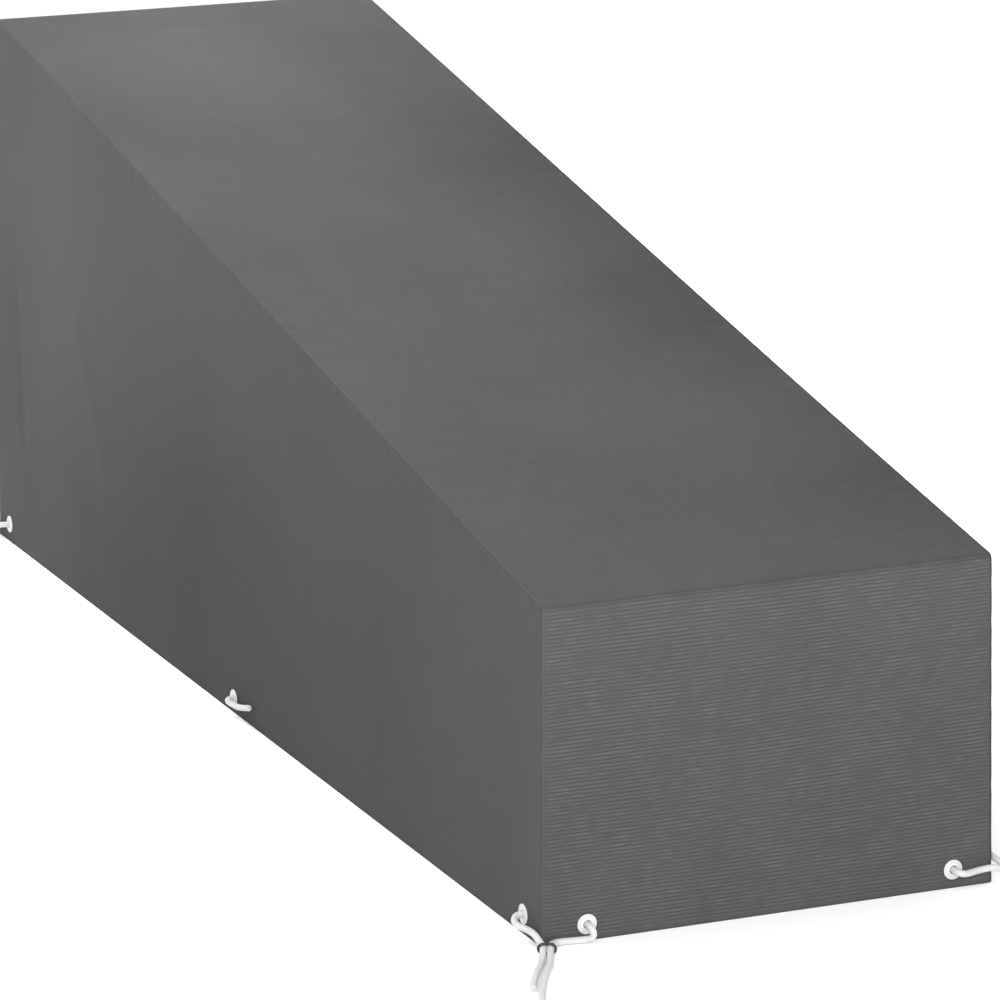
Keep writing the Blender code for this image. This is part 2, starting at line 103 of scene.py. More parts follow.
# panel, one end and the other end of a soft crease, its reach to each side, and its height, which
# is less than 0 for a trough. Places are metres: x and z on the ends, x and y on the slope, and
# y and z on the sides.
creases = [
    ("top", (0.187, 0.325), (0.192, 0.243), 0.009, 0.0014),
    ("top", (0.103, -0.071), (0.106, -0.166), 0.009, 0.0014),
    ("top", (0.109, -0.210), (0.114, -0.300), 0.009, 0.0012),
    ("top", (-0.065, 0.968), (0.120, 0.941), 0.012, -0.0014),
    ("foot", (-0.146, 0.168), (-0.098, 0.123), 0.010, -0.0009),
    ("foot", (-0.098, 0.123), (-0.043, 0.116), 0.010, -0.0009),
    ("foot", (-0.043, 0.116), (-0.009, 0.151), 0.010, -0.0009),
    ("left", (0.93, 0.18), (0.97, 0.42), 0.018, -0.0014),
    ("left", (0.55, 0.20), (0.68, 0.42), 0.020, 0.0012),
    ("right", (0.40, 0.18), (0.52, 0.40), 0.020, 0.0012),
    ("head", (-0.10, 0.30), (0.08, 0.36), 0.014, -0.0010),
]

# painted light and shade: panel, place, reach each way, and by how much the cloth there is
# painted paler, or darker if less than 0
painted_shading = [
    ("top", (0.31, -0.15), (0.16, 0.90), -0.30), ("top", (-0.31, 0.85), (0.15, 0.60), -0.24),
    ("top", (-0.20, 1.03), (0.20, 0.16), -0.16), ("top", (0.02, 0.75), (0.20, 0.20), 0.05),
    ("top", (0.22, 0.45), (0.12, 0.45), -0.12), ("top", (0.10, -1.00), (0.40, 0.25), -0.05),
    ("foot", (-0.20, 0.24), (0.13, 0.18), -0.12), ("foot", (-0.05, 0.40), (0.24, 0.07), 0.03),
    ("foot", (0.22, 0.34), (0.14, 0.12), -0.06), ("foot", (-0.12, 0.05), (0.10, 0.06), 0.05),
    ("left", (0.25, 0.08), (0.60, 0.30), -0.38), ("left", (-0.50, 0.20), (0.45, 0.30), -0.12),
    ("left", (0.80, 0.60), (0.45, 0.30), 0.11), ("left", (1.00, 0.32), (0.14, 0.24), -0.16),
    ("left", (-1.06, 0.20), (0.06, 0.40), 0.08),
    ("right", (0.10, 0.10), (0.60, 0.30), -0.25), ("right", (0.80, 0.60), (0.45, 0.30), 0.15),
]
clouding = {"long": 0.035, "side": 0.022}  # how much the soft clouds change the tone
# painted shade: how much darker the cloth is painted where it turns in along the seams of each
# side, on the roll turned from the light; painted light, paler, if less than 0
seam_shades = {left: -0.08, right: 0.45}


def ridge(y):
    """Height of the sloping top: it rises evenly from the foot end to the head end."""
    return foot_height + (y + cover_length / 2) * rise


def lean(points):
    """Moves points of the true box as the sewn cover stands: each corner's shift is weighted by
    how near the point is along all three sides, and the right top edge hangs in a soft curve."""
    x, y, z = points[..., 0], points[..., 1], points[..., 2]
    u, v, w = x / cover_width + 0.5, y / cover_length + 0.5, z / ridge(y)
    moved = points.copy()
    for side, end, at_top, dx, dz in corner_shifts:
        near = (u if side == right else 1 - u) * (v if end == head else 1 - v)
        near = near * (w if at_top else 1 - w)
        moved[..., 0] += near * dx
        moved[..., 2] += near * dz
    hang = np.maximum(v, 0) * (1 - v) ** 2 * 6.75  # up to 1, a third of the way to the head end
    moved[..., 2] -= edge_sag * u * np.maximum(w, 0) ** 3 * hang
    return moved


def swell(panel, along, up):
    """How far the cloth stands out: a sum of out * exp(-(distance / reach)^2), held to 0 at the
    panel's edges by 16 s^2 (1 - s)^2 for each share s."""
    total = 0
    for name, middle, level, reach_along, reach_up, out in swells:
        if name == panel:
            away = ((along - middle) / reach_along) ** 2 + ((up - level) / reach_up) ** 2
            total = total + out * np.exp(-away)
    for share in (along, up):
        inside = np.clip(share, 0, 1)
        total = total * 16 * inside**2 * (1 - inside) ** 2
    return total


def creased(panel, first, second):
    """Sum of height * exp(-(d / reach)^2), where d is how far a place is from a crease's line."""
    total = np.zeros(np.broadcast(first, second).shape)
    for name, start, stop, reach, height in creases:
        if name == panel:
            run = np.subtract(stop, start)
            share = ((first - start[0]) * run[0] + (second - start[1]) * run[1]) / (run @ run)
            share = np.clip(share, 0, 1)
            away = np.hypot(first - start[0] - share * run[0], second - start[1] - share * run[1])
            total = total + height * np.exp(-((away / reach) ** 2))
    return total


def painted_shading_at(panel, first, second):
    """Sum of amount * exp(-(distance / reach)^2): how much paler the cloth is painted at a place,
    as painted light and shade.
    """
    total = np.zeros(np.broadcast(first, second).shape)
    for name, place, reach, amount in painted_shading:
        if name == panel:
            away = ((first - place[0]) / reach[0]) ** 2 + ((second - place[1]) / reach[1]) ** 2
            total = total + amount * np.exp(-away)
    return total


def clouded(first, second):
    """Soft clouds, like those that weaving and folding leave: the sum of 40 waves from 0.06 m to
    0.7 m long, each with its own direction, and stronger the longer it is. Its spread is 1."""
    random = np.random.default_rng(7)
    turn, start = random.uniform(0, 2 * math.pi, (2, 40))
    length = 0.06 * 12 ** random.uniform(0, 1, 40)
    strength = length**0.7
    along_wave = first[..., None] * np.cos(turn) + second[..., None] * np.sin(turn)
    waves = np.sin(along_wave * (2 * math.pi / length) + start) @ strength
    return waves / math.sqrt(np.sum(strength**2) / 2)


def waver(along_rib, between_ribs):
    """How far the ribs stray from straight: two slow waves along them, under a millimetre."""
    slow = np.sin(along_rib * 9 + 2 * np.sin(between_ribs * 6))
    return 0.0006 * slow + 0.0003 * np.sin(along_rib * 27 + between_ribs * 31)


def pucker(from_seam, by_seam):
    """Small gathers beside a seam: two waves along it, which are strongest 9 mm from it."""
    near = np.maximum(from_seam, 0) / 0.009
    wave = np.sin(by_seam * 205) * np.sin(by_seam * 31 + 1) + 0.6 * np.sin(by_seam * 118 + 2)
    return 0.00035 * wave * near * np.exp(1 - near)


def over_the_top(inset, spacing):
    """The outline from the foot fold over the slope to the head fold, at an inset from its outer
    face: a round arc, a straight run and a round arc. Gives points and outward directions in y
    and z."""
    square = math.pi / 2 + math.atan(rise)
    points, outward = {}, {}
    for end, turn in ((foot, np.linspace(math.pi, square, 9)), (head, np.linspace(square, 0, 11))):
        y = end * (cover_length / 2 - fold_radius)
        z = ridge(y) - fold_radius * math.hypot(1, rise)
        outward[end] = np.stack([np.cos(turn), np.sin(turn)], axis=1)
        points[end] = np.array([y, z]) + (fold_radius - inset) * outward[end]
    share = np.linspace(0, 1, round(cover_length / spacing))[1:-1, None]
    slope = points[foot][-1] * (1 - share) + points[head][0] * share
    slope_out = np.repeat(outward[foot][-1:], len(slope), axis=0)
    return (
        np.vstack([points[foot], slope, points[head]]),
        np.vstack([outward[foot], slope_out, outward[head]]),
    )


def hem_turn():
    """The hem's section, from the top of its folded part, down, round the lower edge and up to
    the flat band's top. Gives each step's inset, height, outward and upward direction, and how
    far it is on the outside, from 0 to 1."""
    radius = hem_thickness / 2
    turn = np.linspace(0, math.pi, 9)
    inside = np.linspace(hem_depth, radius, 6)[:-1]
    outside = np.linspace(radius, hem_band, 7)[1:]
    folded, flat = np.zeros(len(inside)), np.zeros(len(outside))
    inset = np.r_[folded + hem_thickness, radius + radius * np.cos(turn), flat]
    height = np.r_[inside, radius - radius * np.sin(turn), outside]
    out = np.r_[folded - 1, -np.cos(turn), flat + 1]
    up = np.r_[folded, -np.sin(turn), flat]
    shown = np.r_[folded, turn / math.pi, flat + 1]
    return inset, height, out, up, shown


def seam_turn():
    """How a sewn edge turns in: round a small roll by 135 degrees, then straight inwards on the
    diagonal. Gives how far each step is past the start of the roll, inside the face, and from the
    seam along the cloth."""
    turn = np.linspace(0, math.pi * 3 / 4, 7)
    straight = np.linspace(0, seam_allowance, 4)[1:]
    past = np.r_[seam_roll * np.sin(turn), (seam_roll - straight) * math.sqrt(0.5)]
    inside = seam_roll * (1 - np.cos(turn))
    inside = np.r_[inside, inside[-1] + straight * math.sqrt(0.5)]
    from_seam = np.r_[roll_length - seam_roll * turn, -straight]
    return past, inside, from_seam


def surface(name, *patches):
    """A mesh made of patches. Each is a grid of points, rows by columns, with its UV grids by
    name. Points that meet are joined, and the faces are turned to look out."""
    points, faces, maps, first = [], [], {}, 0
    for grid, uv_grids in patches:
        rows, columns = grid.shape[:2]
        corner = first + (np.arange(rows - 1)[:, None] * columns + np.arange(columns - 1)).ravel()
        faces.append(np.stack([corner, corner + 1, corner + columns + 1, corner + columns], axis=1))
        points.append(grid.reshape(-1, 3))
        for map_name, uv_grid in uv_grids.items():
            maps.setdefault(map_name, []).append(uv_grid.reshape(-1, 2))
        first += rows * columns
    points, faces = np.vstack(points), np.vstack(faces)
    a, b, c, d = (points[faces[:, k]] for k in range(4))
    if np.sum(np.cross(c - a, d - b) * (a + b + c + d - 4 * points.mean(axis=0))) < 0:
        faces = faces[:, ::-1]
    mesh = bpy.data.meshes.new(name)
    mesh.from_pydata(points, [], faces)
    for map_name, uv_grids in maps.items():
        layer = mesh.uv_layers.new(name=map_name)
        corners = np.vstack(uv_grids)[faces.ravel()]
        layer.data.foreach_set("uv", corners.ravel().astype("f4"))
    joined = bmesh.new()
    joined.from_mesh(mesh)
    bmesh.ops.remove_doubles(joined, verts=joined.verts, dist=1e-6)
    joined.to_mesh(mesh)
    joined.free()
    mesh.shade_smooth()
    piece = bpy.data.objects.new(name, mesh)
    bpy.context.scene.collection.objects.link(piece)
    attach(piece, "root")
    return piece


def thicken(cloth):
    """Gives a cloth its thickness, inwards from the face that was worked out."""
    wall = cloth.modifiers.new("thickness of the cloth", "SOLIDIFY")
    wall.thickness = cloth_thickness
    wall.offset = -1


def long_cloth_surface():
    """Rows follow the section from hem to hem, and columns cross the cloth from the left seam's
    edge to the right one's, about 8 mm apart. Each point is lean(x, y, z), moved out by the
    swells, creases and gathers; past the flat part it is turned in along the seam."""
    inset, height, out, up, shown = hem_turn()
    path, path_out = over_the_top(inset=0, spacing=0.0088)
    climb = np.linspace(hem_band, path[0, 1], 50)[1:-1]
    drop = np.linspace(path[-1, 1], hem_band, 96)[1:-1]
    on_climb, on_drop = np.zeros(len(climb)), np.zeros(len(drop))
    half = cover_length / 2
    y = np.r_[inset - half, on_climb - half, path[:, 0], on_drop + half, half - inset[::-1]]
    z = np.r_[height, climb, path[:, 1], drop, height[::-1]]
    y_out = np.r_[-out, on_climb - 1, path_out[:, 0], on_drop + 1, out[::-1]]
    z_out = np.r_[up, on_climb, path_out[:, 1], on_drop, up[::-1]]
    shown = np.r_[shown, on_climb + 1, np.ones(len(path)), on_drop + 1, shown[::-1]][:, None]
    along = np.r_[0, np.cumsum(np.hypot(np.diff(y), np.diff(z)))]

    past, inside, from_seam = seam_turn()
    flat = cover_width / 2 - roll_width
    middle = np.linspace(-flat, flat, 76)[1:-1]
    x = np.r_[np.full(len(past), -flat), middle, np.full(len(past), flat)]
    past = np.r_[-past[::-1], np.zeros(len(middle)), past]
    inside = np.r_[inside[::-1], np.zeros(len(middle)), inside]
    from_seam = np.r_[from_seam[::-1], flat + roll_length - np.abs(middle), from_seam]
    across = np.sign(x) * (flat + roll_length - from_seam)

    folded = across / across.max() * (cover_width / 2 - hem_short)
    grid_x = x * shown + folded * (1 - shown)
    grid_y, grid_z = (np.repeat(part[:, None], len(x), axis=1) for part in (y, z))
    points = lean(np.stack([grid_x, grid_y, grid_z], axis=-1))
    share = grid_x / cover_width + 0.5
    on_foot, on_head = y[:, None] < -half + 1e-6, y[:, None] > half - 1e-6
    above = (grid_z - hem_band) / (np.where(on_foot, foot_height, head_height) - hem_band)
    points[..., 1] -= swell("foot", share, above) * on_foot
    points[..., 1] += swell("head", share, above) * on_head
    points[..., 2] += swell("top", grid_y / cover_length + 0.5, share) * ~(on_foot | on_head)

    from_seam, by_seam = np.broadcast_arrays(from_seam, along[:, None])
    relief = pucker(from_seam, by_seam) + creased("foot", grid_x, grid_z) * on_foot
    relief = relief + creased("head", grid_x, grid_z) * on_head
    relief = relief + creased("top", grid_x, grid_y) * ~(on_foot | on_head)
    relief = (relief - inside) * shown
    points[..., 0] += past * shown
    points[..., 1] += y_out[:, None] * relief
    points[..., 2] += z_out[:, None] * relief
    # painted light and shade from the listed spots, then the random clouds
    paler = painted_shading_at("foot", grid_x, grid_z) * on_foot + painted_shading_at("head", grid_x, grid_z) * on_head
    paler = paler + painted_shading_at("top", grid_x, grid_y) * ~(on_foot | on_head)
    across, along = np.broadcast_arrays(across, along[:, None])
    paler = paler + clouding["long"] * clouded(across, along)
    # painted shade along the right seams and painted light along the left ones
    shade = np.where(across > 0, seam_shades[right], seam_shades[left])
    return points, {
        "weave": np.stack([across, along + waver(across, along)], axis=-1),
        "seam": np.stack([from_seam, by_seam], axis=-1),
        "painted_shade_and_clouds": np.stack([paler, shade], axis=-1),
    }


class Thread:
    """One value in a finish. Arithmetic on it adds Math nodes."""

    def __init__(self, finish, socket):
        self.finish, self.socket = finish, socket

    def math(self, operation, *values):
        return self.finish.node("ShaderNodeMath", values, operation=operation)

    def __add__(self, other):
        return self.math("ADD", self, other)

    def __radd__(self, other):
        return self.math("ADD", other, self)

    def __sub__(self, other):
        return self.math("SUBTRACT", self, other)

    def __rsub__(self, other):
        return self.math("SUBTRACT", other, self)

    def __mul__(self, other):
        return self.math("MULTIPLY", self, other)

    def __abs__(self):
        return self.math("ABSOLUTE", self)

    def wave(self):
        """0 to 1 and back once for each whole number."""
        return self.math("SINE", self * (2 * math.pi)) * 0.5 + 0.5

    def past(self, edge, blur):
        """0 below an edge and 1 above it, with a soft step of that width."""
        sockets = {0: self, 1: edge - blur / 2, 2: edge + blur / 2}
        return self.finish.node("ShaderNodeMapRange", sockets, interpolation_type="SMOOTHSTEP")

    def within(self, low, high, blur):
        """1 between two edges and 0 outside them, with soft steps of that width."""
        return self.past(low, blur) * (1 - self.past(high, blur))


class Finish:
    """A Principled material whose values come from Threads."""

    def __init__(self, name, **constants):
        self.material = bpy.data.materials.new(name)
        self.material.use_nodes = True
        self.tree = self.material.node_tree
        self.shader = self.tree.nodes["Principled BSDF"]
        for socket, value in constants.items():
            self.shader.inputs[socket.replace("_", " ")].default_value = value

    def node(self, kind, sockets=(), output=0, **settings):
        """Adds a node with its settings, then its sockets' values or links, by number or name."""
        new = self.tree.nodes.new(kind)
        for setting, value in settings.items():
            setattr(new, setting, value)
        for socket, value in sockets.items() if isinstance(sockets, dict) else enumerate(sockets):
            if isinstance(value, Thread):
                self.tree.links.new(value.socket, new.inputs[socket])
            else:
                new.inputs[socket].default_value = value
        return Thread(self, new.outputs[output])

    def parts(self, vector):
        """The three numbers of a vector."""
        split = self.node("ShaderNodeSeparateXYZ", [vector]).socket.node
        return [Thread(self, output) for output in split.outputs]

    def place(self):
        """Where a point is, in metres."""
        return self.node("ShaderNodeTexCoord", output="Object")

    def uv(self, name):
        """The two numbers of a UV map."""
        return self.parts(self.node("ShaderNodeUVMap", uv_map=name))[:2]

    def noise(self, vector, scale, detail):
        """Soft random values round 0.5."""
        sockets = {"Vector": vector, "Scale": scale, "Detail": detail}
        return self.node("ShaderNodeTexNoise", sockets, output="Fac")

    def blend(self, dark, light, share):
        """A colour between two others."""
        sockets = {0: share, 6: (*dark, 1), 7: (*light, 1)}
        return self.node("ShaderNodeMix", sockets, output=2, data_type="RGBA")

    def feed(self, socket, value):
        self.tree.links.new(value.socket, self.shader.inputs[socket])

    def relief(self, height, distance):
        """Relief from a height of 0 to 1, which stands for that distance."""
        self.feed("Normal", self.node("ShaderNodeBump", {"Height": height, "Distance": distance}))


def ribbed_cloth(name, contrast, dark, light):
    """Matt grey cloth with a broad rib every 5 mm and a narrow groove between, crossed by threads
    2 mm apart. The grooves break into dashes, are deeper in some spots than in others, lie flatter
    on the slope, and grow faint beside the seams and at the hem's edge. Stitches follow the seams
    and the top of the hem. Its tone also takes painted light and shade: the listed spots, the
    seams' rolls and the hem's lowest edge."""
    rib_pitch, thread_pitch, stitch_length = 0.005, 0.002, 0.004
    mean_groove = 0.31  # with it, the grooves leave the mean tone as it is
    finish = Finish(name, Specular_IOR_Level=0.25, Alpha=0.93)
    finish.material.use_transparent_shadow = False  # too little light passes the cloth to show
    across, along = finish.uv("weave")
    paler, shade = finish.uv("painted_shade_and_clouds")
    from_seam, by_seam = finish.uv("seam")
    x, y, height = finish.parts(finish.place())
    _, _, upward = finish.parts(finish.node("ShaderNodeTexCoord", output="Normal"))

    clear = from_seam.past(0.0065, 0.004) * height.past(0.0075, 0.006)
    between = 1 - (along * (1 / rib_pitch)).wave()
    groove = between * between * between
    thread = (across * (1 / thread_pitch) + between * 0.4).wave()
    dash = finish.noise(finish.node("ShaderNodeCombineXYZ", [across * 52, along * 190]), 1.0, 1.0)
    fleck = finish.noise(finish.place(), 38, 2.0)
    raised = 1 - abs(upward) * 0.45
    deep = clear * raised * (fleck * 2.4 - 0.2)
    stitch = from_seam.within(0.0050, 0.0062, 0.0008) * (by_seam * (1 / stitch_length)).wave()
    hem_stitch = height.within(0.0372, 0.0384, 0.0008) * ((x + y) * (1 / stitch_length)).wave()
    stitch = stitch + hem_stitch

    tone = 0.5 + (mean_groove - groove) * (dash * 1.6 + 0.2) * deep * contrast
    tone = tone + (dash - 0.5) * deep * (contrast * 0.9) - stitch * 0.12
    # painted light and shade from the listed spots and along the seams, with the random clouds and
    # flecks
    tone = tone + (fleck - 0.5) * 0.30 + paler - (1 - from_seam.past(0.0034, 0.0018)) * shade
    # painted shade along the lowest 4 mm of the hem, next to the floor
    tone = tone + (thread - 0.5) * clear * 0.10 - (1 - height.past(0.004, 0.004)) * 0.15
    finish.feed("Base Color", finish.blend(dark, light, tone))
    finish.feed("Roughness", 0.74 + fleck * 0.14)
    relief = 0.6 + (dash * 0.30 - groove * 0.55 + thread * 0.16) * raised
    finish.relief(relief, contrast * 0.0016)
    return finish.material


long_cloth = surface("long_cloth", long_cloth_surface())
thicken(long_cloth)
long_finish = ribbed_cloth("ribbed_cloth", 0.38, (0.032, 0.032, 0.033), (0.092, 0.092, 0.094))
long_cloth.data.materials.append(long_finish)
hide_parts("long_panel")

# ---------------------------------------------------------------- side cloths
# Two pieces of the same cloth, cut to the slope, with their ribs upright, in darker colours as
# painted shade on the sides. Three of their edges are turned in and sewn to the long cloth, and
# the lowest one is folded in for the hem.


def seam_place(y, z):
    """How far a place on a side is from the seam round it, and how far along the seam that is:
    up the foot end, over the slope and down the head end."""
    half, steep = cover_length / 2, math.hypot(1, rise)
    distances = np.stack([y + half, (ridge(y) - z) / steep, half - y])
    nearest = distances.argmin(axis=0)
    over = foot_height + (y + half) * steep
    down = foot_height + cover_length * steep + head_height - z
    from_seam = distances.min(axis=0)
    for end in (foot, head):
        middle_y = end * (half - fold_radius)
        middle_z = ridge(middle_y) - fold_radius * steep
        in_fold = (end * (y - middle_y) > 0) & (z - middle_z > rise * (middle_y - y))
        rounded = fold_radius - np.hypot(y - middle_y, z - middle_z)
        from_seam = np.where(in_fold, rounded, from_seam)
    return np.stack([from_seam, np.choose(nearest, [z, over, down])], axis=-1)


def side_cloth_surface(side):
    """Columns follow the slope from fold to fold, and rows go from the hem's folded part round
    and up to the top. A second patch turns the edge in along the seam, and starts on the first
    one's border."""
    inset, height, _, _, shown = hem_turn()
    path, path_out = over_the_top(inset=roll_width, spacing=0.0084)
    y, top = path[:, 0], path[:, 1]
    share = np.linspace(0, 1, 74)[1:, None]
    z = np.vstack([np.repeat(height[:, None], len(y), axis=1), hem_band + (top - hem_band) * share])
    inset = np.r_[inset, np.zeros(len(share))][:, None]
    shown = np.r_[shown, np.ones(len(share))][:, None]
    folded = y / y.max() * (cover_length / 2 - hem_short)
    y = y * shown + folded * (1 - shown)
    points = lean(np.stack([side * (cover_width / 2 - inset) + 0 * y, y, z], axis=-1))
    name = side_names[side]
    seam = seam_place(y, z)
    relief = swell(name, y / cover_length + 0.5, (z - hem_band) / (ridge(y) - hem_band))
    relief = relief + (pucker(seam[..., 0], seam[..., 1]) + creased(name, y, z)) * shown
    points[..., 0] += side * relief
    # painted light and shade from the listed spots, then the random clouds, and the seams' painted
    # shade
    paler = painted_shading_at(name, y, z) + clouding["side"] * clouded(y + side, z)
    painted_shade_and_clouds = np.stack([paler, np.full(y.shape, seam_shades[side])], axis=-1)
    face = points, {"weave": np.stack([z, y + waver(z, y)], axis=-1), "seam": seam, "painted_shade_and_clouds": painted_shade_and_clouds}

    rows, columns = y.shape
    first = shown.argmax()  # where the hem has turned to the outside
    climb = np.arange(first, rows - 1)
    row = np.r_[climb, np.full(columns, rows - 1), climb[::-1]]
    column = np.r_[np.zeros(len(climb), int), np.arange(columns), np.full(len(climb), columns - 1)]
    ends = np.zeros((len(climb), 2))
    outward = np.vstack([ends - [1, 0], path_out, ends + [1, 0]])[None]
    past, inside, from_seam = (steps[:, None] for steps in seam_turn())
    edge = np.repeat(points[None, row, column], len(past), axis=0)
    edge[..., 0] -= side * inside
    edge[..., 1:] += outward * past[..., None]
    start = np.stack([y[row, column], z[row, column]], axis=-1)
    unrolled = start + outward * (roll_length - from_seam)[..., None]
    by_seam = np.broadcast_to(seam[row, column, 1], edge.shape[:2])
    seam = np.stack([np.broadcast_to(from_seam, edge.shape[:2]), by_seam], axis=-1)
    painted_shade_and_clouds = np.broadcast_to(painted_shade_and_clouds[row, column], edge.shape[:2] + (2,))
    unrolled[..., 0] += waver(unrolled[..., 1], unrolled[..., 0])
    return face, (edge, {"weave": unrolled[..., ::-1], "seam": seam, "painted_shade_and_clouds": painted_shade_and_clouds})


# darker colours than the long cloth's: painted shade on both sides
side_finish_with_painted_shade = ribbed_cloth("ribbed_side_cloth_with_painted_shade", 0.14, (0.024, 0.024, 0.025), (0.079, 0.079, 0.081))
for side, name in side_names.items():
    side_cloth = surface(f"{name}_cloth", *side_cloth_surface(side))
    thicken(side_cloth)
    side_cloth.data.materials.append(side_finish_with_painted_shade)
    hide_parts(f"{name}_panel")

# ---------------------------------------------------------------- eyelets
# Ten two-part rings of white moulded plastic are pressed together through the hem: one each side
# of every corner, and one in the middle of each side.

end_inset, right_foot_inset, side_inset = 0.0614, 0.0557, 0.0531  # from the corners
end_up, right_foot_up, side_up, head_side_up = 0.0217, 0.0247, 0.0262, 0.0282
middle_along, middle_up = 0.0096, 0.0208

# radius and height above the cloth's middle, round the section from the hole to the hole
eyelet_section = np.array([
    (5.20, 0.0), (5.20, 2.3), (5.35, 2.85), (5.8, 3.15), (6.5, 3.25), (7.3, 3.05), (8.2, 2.62),
    (9.2, 2.32), (10.2, 2.22), (10.9, 2.30), (11.5, 2.52), (12.0, 2.60), (12.5, 2.48),
    (12.85, 2.15), (13.0, 1.70), (12.9, 1.25), (12.6, 1.02), (6.4, 1.0), (6.4, -1.0), (11.0, -1.02),
    (11.2, -1.3), (11.2, -1.8), (10.9, -2.2), (9.0, -2.5), (7.0, -3.1), (6.0, -3.2), (5.4, -2.9),
    (5.20, -2.3), (5.20, 0.0),
]) / 1000


def unit(vectors):
    """Vectors divided by their lengths."""
    return vectors / np.linalg.norm(vectors, axis=-1, keepdims=True)


def seat(end, side, place, up):
    """Where a piece sits in the hem of an end, or of a side if end is 0: the middle of the cloth,
    and the directions along the hem, up and outwards there."""
    step = 0.004
    steps = np.array([(0, 0), (step, 0), (-step, 0), (0, step), (0, -step)])
    wide, tall = place + steps[:, 0], up + steps[:, 1]
    if end:
        box_points = [wide, np.full(len(steps), end * (cover_length / 2 - hem_thickness / 2)), tall]
    else:
        box_points = [np.full(len(steps), side * (cover_width / 2 - hem_thickness / 2)), wide, tall]
    middle, ahead, behind, above, below = lean(np.stack(box_points, axis=-1))
    outward = unit(np.cross(ahead - behind, above - below))
    outward = outward * np.sign(outward @ middle)
    upward = unit(above - below - outward * ((above - below) @ outward))
    return middle, np.cross(upward, outward), upward, outward


def turned_surface(section, place):
    """A section of radii and heights carried once round its axis: middle + along r cos t +
    up r sin t + outward h."""
    middle, along, up, outward = place
    turn = np.linspace(0, 2 * math.pi, 65)
    spokes = np.outer(np.cos(turn), along) + np.outer(np.sin(turn), up)
    spokes[-1] = spokes[0]
    points = middle + section[:, 0, None, None] * spokes + section[:, 1, None, None] * outward
    around, over = np.meshgrid(turn / (2 * math.pi), np.linspace(0, 1, len(section)))
    return points, {"turned": np.stack([around, over], axis=-1)}


def white_plastic():
    """Moulded plastic, slightly glossy on the high rim, with a fine grain and a little dust, and
    darker in the hollow round the hole: painted shade, mottled with the dust."""
    finish = Finish("white_plastic", Specular_IOR_Level=0.5)
    _, over = finish.uv("turned")
    grain = finish.noise(finish.place(), 900, 3.0)
    dust = finish.noise(finish.place(), 160, 3.0)
    hollow = over.past(0.20, 0.10) * (1 - over.past(0.36, 0.06))
    # painted shade in the hollow round the hole, mottled with dust; the last term is dust all over
    share = 0.95 - hollow * (0.10 + dust * 0.25) - dust * 0.06
    finish.feed("Base Color", finish.blend((0.34, 0.34, 0.33), (0.58, 0.58, 0.57), share))
    finish.feed("Roughness", 0.30 + hollow * 0.25 + grain * 0.12)
    finish.relief(grain * 0.5 + dust * 0.5, 0.00008)
    return finish.material


eyelet_finish = white_plastic()
eyelet_seats = {}
for side, side_name in side_names.items():
    for end, end_name in end_names.items():
        at_right_foot = (side, end) == (right, foot)
        x = side * (cover_width / 2 - (right_foot_inset if at_right_foot else end_inset))
        up = right_foot_up if at_right_foot else end_up
        eyelet_seats[f"{end_name}_{side_name}"] = seat(end, side, x, up)
        y = end * (cover_length / 2 - side_inset)
        up = head_side_up if end == head else side_up
        eyelet_seats[f"{side_name}_{end_name}"] = seat(0, side, y, up)
    eyelet_seats[f"{side_name}_middle"] = seat(0, side, middle_along, middle_up)

for name, place in eyelet_seats.items():
    eyelet = surface(f"white_eyelet_{name}", turned_surface(eyelet_section, place))
    eyelet.data.materials.append(eyelet_finish)
    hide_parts(f"eyelet_{name}")

# ---------------------------------------------------------------- tie cords
# Ten lengths of soft white braided cord, 8.6 mm thick, each held by a knot behind its eyelet. Two
# run along the hem to every corner and on in bare, heat-sealed tails; one lies short beside each
# middle eyelet.

cord_thickness = 0.0086

# how far past the side, past the end and up each step is from the corner of the hem
end_route = np.array([
    (-61.4, -12.0, 21.7), (-61.4, -3.0, 21.7), (-61.4, 4.0, 21.7), (-61.9, 10.8, 20.4),
    (-63.2, 15.0, 16.1), (-63.0, 15.4, 10.8), (-59.2, 12.2, 6.8), (-51.5, 8.4, 5.3),
    (-41.0, 6.0, 5.0), (-30.0, 5.3, 5.2), (-20.0, 6.2, 5.7), (-12.0, 10.2, 6.4),
    (-6.8, 16.6, 7.3), (-3.2, 23.8, 8.1), (0.3, 30.9, 8.2), (3.7, 38.2, 7.9), (9.4, 51.0, 5.6),
    (18.0, 70.5, 4.6), (29.0, 89.5, 4.6), (40.0, 108.0, 4.6), (50.5, 127.0, 4.6),
    (60.8, 147.0, 4.6), (70.5, 167.5, 4.6), (78.2, 185.0, 4.6), (83.6, 198.5, 4.6),
]) / 1000
side_route = np.array([
    (-12.0, -53.1, 26.2), (-3.0, -53.1, 26.2), (4.0, -53.1, 26.2), (11.0, -51.6, 24.8),
    (15.0, -45.8, 21.1), (13.6, -37.2, 18.0), (9.4, -28.0, 16.6), (6.4, -18.0, 15.8),
    (5.3, -7.0, 14.8), (5.3, 4.0, 12.2), (5.4, 12.0, 9.9), (5.8, 20.0, 8.4), (8.5, 27.1, 8.2),
    (11.9, 34.6, 8.0), (19.0, 49.0, 5.6), (26.2, 62.0, 4.6), (34.8, 76.5, 4.6),
    (49.0, 99.0, 4.6), (61.7, 122.2, 4.6), (73.2, 144.7, 4.6),
]) / 1000
# at the head end the loop of the side cord stands higher
head_side_route = side_route.copy()
higher = np.array([28.2, 28.2, 28.2, 28.1, 26.8, 24.0, 20.4, 17.4, 15.0, 12.2]) / 1000
head_side_route[: len(higher), 2] = higher
